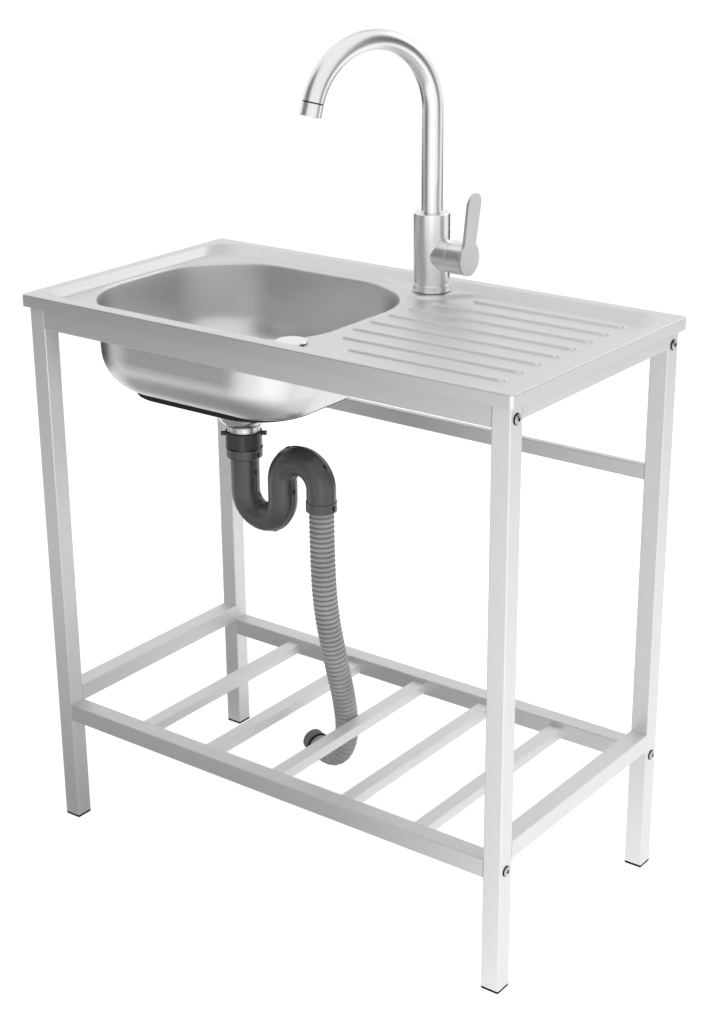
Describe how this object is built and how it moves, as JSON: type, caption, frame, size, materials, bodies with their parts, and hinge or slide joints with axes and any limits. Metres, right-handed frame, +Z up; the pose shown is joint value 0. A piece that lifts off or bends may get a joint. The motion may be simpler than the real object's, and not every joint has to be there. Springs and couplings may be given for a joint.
{
  "type": "kitchen sink unit",
  "caption": "Free-standing stainless sink unit with bowl, ribbed drainboard, goose-neck mixer tap, trap with drain hose and a slatted tube stand.",
  "frame": {"origin": "on the floor under the middle of the stand", "axes": "+X to the right along the long front, +Y to the back, +Z up"},
  "size_m": [0.76, 0.4, 1.1115],
  "materials": {
    "sink_steel": "satin, drawn grain along the length",
    "frame_tube": "satin tube",
    "tap_steel": "fine turned satin",
    "lever_steel": "bead-blasted satin",
    "waste_steel": "polished pressing",
    "chrome_disc": "polished",
    "bolt_steel": "zinc-bright",
    "brass": "machined",
    "black_rubber": "matt",
    "black_plastic": "matt",
    "white_plastic": "matt",
    "nut_plastic": "satin moulded",
    "trap_plastic": "soft gloss moulded",
    "hose_plastic": "soft ribbed",
    "connector_rubber": "satin"
  },
  "bodies": {
    "stand": {"sink_top": "sink_steel", "leg_front_left": "frame_tube", "leg_front_right": "frame_tube", "leg_rear_left": "frame_tube", "leg_rear_right": "frame_tube", "front_apron": "frame_tube", "rear_apron": "frame_tube", "upper_side_rail_left": "frame_tube", "upper_side_rail_right": "frame_tube", "rear_brace": "frame_tube", "lower_front_rail": "frame_tube", "lower_rear_rail": "frame_tube", "lower_side_rail_left": "frame_tube", "lower_side_rail_right": "frame_tube", "slat_1": "frame_tube", "slat_2": "frame_tube", "slat_3": "frame_tube", "slat_4": "frame_tube", "slat_5": "frame_tube", "foot_front_left": "black_plastic", "foot_front_right": "black_plastic", "foot_rear_left": "black_plastic", "foot_rear_right": "black_plastic", "frame_bolts": "bolt_steel", "rail_nuts": "bolt_steel", "bowl_pad": "black_rubber", "tap_gasket": "black_rubber", "tap_base": "tap_steel", "tap_body": "tap_steel", "tap_shank": "brass", "tap_washer": "bolt_steel", "tap_nut": "brass", "waste_flange": "waste_steel", "flange_gasket": "black_rubber", "waste_cup": "waste_steel", "cup_gasket": "black_rubber", "waste_screw": "bolt_steel", "trap_nut": "nut_plastic", "trap_seals": "black_rubber", "s_trap": "trap_plastic", "drain_hose": "hose_plastic", "hose_ring": "black_rubber", "hose_connector": "connector_rubber", "cover_disc": "chrome_disc", "cover_washer": "black_rubber", "cover_nut": "white_plastic"},
    "spout": {"spout": "tap_steel", "spout_seal": "black_rubber", "aerator_housing": "tap_steel", "aerator_insert": "white_plastic"},
    "handle": {"handle_hub": "tap_steel", "handle_screw": "black_plastic", "handle_lever": "lever_steel"},
    "basket": {"basket": "waste_steel", "basket_seal": "black_rubber"},
    "cartridge": {"tap_cartridge": "white_plastic"}
  },
  "joints": [
    {"name": "spout_swivel", "type": "hinge", "parent": "stand", "child": "spout", "pos_m": [0.033, 0.1452, 0.86], "axis": [0, 0, 1], "continuous": true},
    {"name": "handle_turn", "type": "hinge", "parent": "stand", "child": "cartridge", "pos_m": [0.05, 0.1452, 0.818], "axis": [1, 0, 0], "range_deg": [-45, 45]},
    {"name": "handle_tilt", "type": "hinge", "parent": "cartridge", "child": "handle", "pos_m": [0.05, 0.1452, 0.818], "axis": [0, 1, 0], "range_deg": [0, 20]},
    {"name": "basket_lift", "type": "slide", "parent": "stand", "child": "basket", "axis": [0, 0, 1], "range_m": [0, 0.08]}
  ]
}
